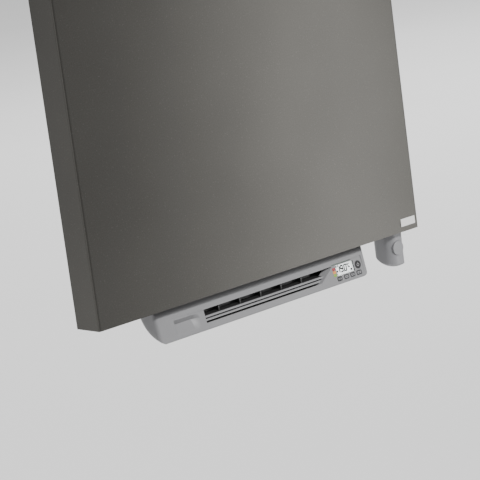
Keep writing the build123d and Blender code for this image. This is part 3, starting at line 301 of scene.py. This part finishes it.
def dress_nodes():
    for part in frame["record"]["subparts"]:
        mesh = nodes[part["node"]].data
        mesh.materials.clear()
        mesh.materials.append(slot_materials[part["material_slot"]])
    # Painted shade: the grille goes from housing grey at its front to near black deeper in, where the outlet lies
    # in shade
    grille = nodes["outlet_grille"].data
    grille_front = max(v.co.dot(out) for v in grille.vertices)
    grille.materials[0] = painted_shade_plastic(
        "grille_painted_shade", housing_grey, outlet_painted_shade, out, grille_front, 0.4 * mm, 2 * mm
    )


# Slabs and rings on a face of the control panel
class Face:
    """The outer face of a node on the control panel: its middle and its size."""

    def __init__(self, node):
        points = [v.co for v in nodes[node].data.vertices]
        front_level = max(p.dot(out) for p in points)
        rim = [p for p in points if front_level - p.dot(out) < 0.02 * mm]
        spans = [[p.dot(axis) for p in rim] for axis in (across, along)]
        self.width, self.height = (max(span) - min(span) for span in spans)
        middle = [(max(span) + min(span)) / 2 for span in spans]
        self.middle = across * middle[0] + along * middle[1] + out * front_level

    def point(self, x, y, lift):
        """A place over the face, from its middle, in metres."""
        return self.middle + across * x + along * y + out * lift


def make_object(name, bm, material, body):
    mesh = bpy.data.meshes.new(name)
    bmesh.ops.recalc_face_normals(bm, faces=bm.faces)
    bm.to_mesh(mesh)
    bm.free()
    mesh.materials.append(material)
    piece = bpy.data.objects.new(name, mesh)
    bpy.context.scene.collection.objects.link(piece)
    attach(piece, body)


def prism(bm, face, outline, low, high):
    """A closed slab on a face, from an outline of (x, y) points."""
    bottom = [bm.verts.new(face.point(x, y, low)) for x, y in outline]
    top = [bm.verts.new(face.point(x, y, high)) for x, y in outline]
    bm.faces.new(top)
    bm.faces.new(bottom[::-1])
    for i in range(len(outline)):
        j = (i + 1) % len(outline)
        bm.faces.new((bottom[i], bottom[j], top[j], top[i]))


def frame_ring(bm, face, outer, inner, low, high):
    """A closed ring on a face, between two outlines with as many points."""
    loops = [
        [bm.verts.new(face.point(x, y, lift)) for x, y in outline]
        for outline, lift in ((outer, low), (outer, high), (inner, high), (inner, low))
    ]
    for k in range(4):
        a, b = loops[k], loops[(k + 1) % 4]
        for i in range(len(outer)):
            j = (i + 1) % len(outer)
            bm.faces.new((a[i], a[j], b[j], b[i]))


def rounded(width, height, radius):
    """Outline of a rectangle with round corners, about its middle."""
    steps = 6
    points = []
    for cx, cy, start in ((1, 1, 0), (-1, 1, 90), (-1, -1, 180), (1, -1, 270)):
        for i in range(steps + 1):
            angle = radians(start + 90 * i / steps)
            x = cx * (width / 2 - radius) + radius * cos(angle)
            y = cy * (height / 2 - radius) + radius * sin(angle)
            points.append((x, y))
    return points


def circle(radius, steps):
    turn = [2 * pi * i / steps for i in range(steps)]
    return [(radius * cos(a), radius * sin(a)) for a in turn]


def stroke(x0, y0, x1, y1, width):
    """Outline of a straight bar between two points."""
    angle = atan2(y1 - y0, x1 - x0)
    nx, ny = -sin(angle) * width / 2, cos(angle) * width / 2
    return [(x0 + nx, y0 + ny), (x0 - nx, y0 - ny), (x1 - nx, y1 - ny), (x1 + nx, y1 + ny)]


def moved(outline, x, y):
    return [(px + x, py + y) for px, py in outline]


# Display: plain numbers and small marks, in millimetres from the middle of the panel
segment_sets = {"1": "bc", "9": "abcdfg", "0": "abcdef", "C": "adef"}
ink_low = 0.01 * mm
ink_high = 0.07 * mm
lean = 0.08
digits = (("1", -13.0), ("9", -6.6), ("0", 0.6))
digit_base = -4.0
digit_width = 4.2
digit_height = 8.6
digit_line = 1.8
unit_place = (9.2, -0.2)
unit_width = 3.0
unit_height = 4.6
unit_line = 1.6
point_place = (-0.9, -4.2)
point_radius = 0.8
degree_place = (7.3, 4.2)
degree_radius = 1.2
degree_hole = 0.4
mark_corner = 0.3
# Each mark's middle, width and height
marks = (
    (-14.0, 5.2, 2.6, 1.9),
    (-10.6, 5.4, 2.2, 1.9),
    (-13.4, -2.0, 2.8, 2.6),
    (-15.0, -5.4, 2.4, 1.8),
    (13.6, -4.4, 3.2, 3.0),
)


def digit_strokes(sign, x, y, width, height, line):
    """Bars of a seven-segment sign whose lower left corner is at (x, y)."""
    half = height / 2
    ends = {
        "a": (0, height, width, height),
        "b": (width, half, width, height),
        "c": (width, 0, width, half),
        "d": (0, 0, width, 0),
        "e": (0, 0, 0, half),
        "f": (0, half, 0, height),
        "g": (0, half, width, half),
    }
    bars = []
    for name in segment_sets[sign]:
        x0, y0, x1, y1 = ends[name]
        bars.append(stroke(x + x0 + lean * y0, y + y0, x + x1 + lean * y1, y + y1, line))
    return bars


def in_metres(outline):
    return [(x * mm, y * mm) for x, y in outline]


def make_display():
    face = Face("lcd_panel")
    outlines = []
    for sign, x in digits:
        outlines += digit_strokes(sign, x, digit_base, digit_width, digit_height, digit_line)
    outlines += digit_strokes("C", *unit_place, unit_width, unit_height, unit_line)
    outlines.append(moved(circle(point_radius, 16), *point_place))
    for x, y, width, height in marks:
        outlines.append(moved(rounded(width, height, mark_corner), x, y))
    bm = bmesh.new()
    for outline in outlines:
        prism(bm, face, in_metres(outline), ink_low, ink_high)
    degree = [in_metres(moved(circle(r, 20), *degree_place)) for r in (degree_radius, degree_hole)]
    frame_ring(bm, face, *degree, ink_low, ink_high)
    make_object("display_signs", bm, ink, "root")


# Keys: a printed outline and a sign on each cap, sunk a little into it
print_low = -0.02 * mm
print_high = 0.06 * mm
key_margin = 0.1 * mm
key_outline = 1.2 * mm
outer_corner = 1.5 * mm
inner_corner = 0.6 * mm
# Crossing bars end at different heights
sign_top = 0.05 * mm
sign_step = 0.01 * mm
# Each sign's bars in millimetres: two ends and a width
key_signs = {
    "menu": [(-2.3, y, 2.3, y, 0.6) for y in (-1.3, 0, 1.3)],
    "minus": [(-1.3, 0, 1.3, 0, 0.9)],
    "plus": [(-1.4, 0, 1.4, 0, 0.8), (0, -1.4, 0, 1.4, 0.8)],
    "ok": [(-1.5, 0, -0.4, -1.2, 0.7), (-0.4, -1.2, 1.7, 1.3, 0.7)],
}


def make_keys():
    for name, bars in key_signs.items():
        face = Face(f"button_{name}")
        outer_cut = 2 * key_margin
        inner_cut = 2 * (key_margin + key_outline)
        outer = rounded(face.width - outer_cut, face.height - outer_cut, outer_corner)
        inner = rounded(face.width - inner_cut, face.height - inner_cut, inner_corner)
        bm = bmesh.new()
        frame_ring(bm, face, outer, inner, print_low, print_high)
        for level, bar in enumerate(bars):
            prism(bm, face, in_metres(stroke(*bar)), print_low, sign_top + sign_step * level)
        make_object(f"key_print_{name}", bm, key_line, f"{name}_key")


# Round key: a ring that is open at the top, with a bar in the gap
ring_outer = 2.3 * mm
ring_inner = 1.6 * mm
ring_gap = radians(38)
bar_bottom = 0.5 * mm
bar_top = 2.9 * mm
bar_width = 0.7 * mm
bar_high = 0.07 * mm


def make_standby():
    face = Face("standby_button")
    steps = 28
    angles = [pi / 2 + ring_gap + (2 * pi - 2 * ring_gap) * i / steps for i in range(steps + 1)]
    ring = [(ring_outer * cos(a), ring_outer * sin(a)) for a in angles]
    ring += [(ring_inner * cos(a), ring_inner * sin(a)) for a in reversed(angles)]
    bm = bmesh.new()
    prism(bm, face, ring, print_low, print_high)
    prism(bm, face, stroke(0, bar_bottom, 0, bar_top, bar_width), print_low, bar_high)
    make_object("standby_sign", bm, glyph_light, "standby_key")


# Floor and light, in metres and watts
floor_drop = 1.1
floor_half = 30


def make_floor():
    bm = bmesh.new()
    bmesh.ops.create_grid(bm, x_segments=1, y_segments=1, size=floor_half)
    mesh = bpy.data.meshes.new("floor")
    bm.to_mesh(mesh)
    bm.free()
    floor = bpy.data.objects.new("floor", mesh)
    floor.location = (0, 0, panel_low.z - floor_drop)
    bpy.context.scene.collection.objects.link(floor)
    mesh.materials.append(plastic(
        "floor_paint", grey(0.62), roughness=0.8, grain=300, relief=0.02, drift=0.6, spread=0.01, specular=0.1
    ))


def area_light(name, place, target, size, power):
    data = bpy.data.lights.new(name, "AREA")
    data.shape = "RECTANGLE"
    data.size, data.size_y = size
    data.energy = power
    light = bpy.data.objects.new(name, data)
    light.location = place
    light.rotation_euler = (Vector(target) - Vector(place)).to_track_quat("-Z", "Y").to_euler()
    bpy.context.scene.collection.objects.link(light)


def sun(name, toward, strength, angle):
    """Soft light from far away; toward points from the part to the light."""
    data = bpy.data.lights.new(name, "SUN")
    data.energy = strength
    data.angle = radians(angle)
    light = bpy.data.objects.new(name, data)
    light.rotation_euler = Vector(toward).to_track_quat("Z", "Y").to_euler()
    bpy.context.scene.collection.objects.link(light)


def make_world(strength):
    world = bpy.data.worlds.new("world")
    world.use_nodes = True
    background = world.node_tree.nodes["Background"]
    background.inputs["Color"].default_value = (1, 1, 1, 1)
    background.inputs["Strength"].default_value = strength
    bpy.context.scene.world = world


def make_lights():
    low_front = Vector((0.15, panel_low.y, panel_low.z + 0.3))
    left_place = (-2.6, -0.8, low_front.z)
    right_place = (1.15, -1.1, low_front.z)
    flank_place, flank_target = (-1.9, 1.35, -0.5), (-0.3, -0.06, -0.4)
    floor_place, floor_target = (7.5, 5.5, 4.5), (7.5, 5.5, -1.5)
    back_place, back_target = (-0.6, 2.8, 3.2), (0, 0, -0.3)
    sun("key_light", toward=(0.06, -0.78, 0.62), strength=4.6, angle=5)
    area_light("left_fill", left_place, low_front, size=(1.8, 2.4), power=16)
    area_light("flank_light", flank_place, flank_target, size=(0.8, 1.6), power=4.5)
    area_light("right_panel", right_place, low_front, size=(0.35, 2.4), power=13)
    area_light("floor_light", floor_place, floor_target, size=(7, 7), power=800)
    area_light("back_light", back_place, back_target, size=(2.4, 2.4), power=170)
    make_world(0.28)


dress_nodes()
make_camera()
make_display()
make_keys()
make_standby()
make_floor()
make_lights()
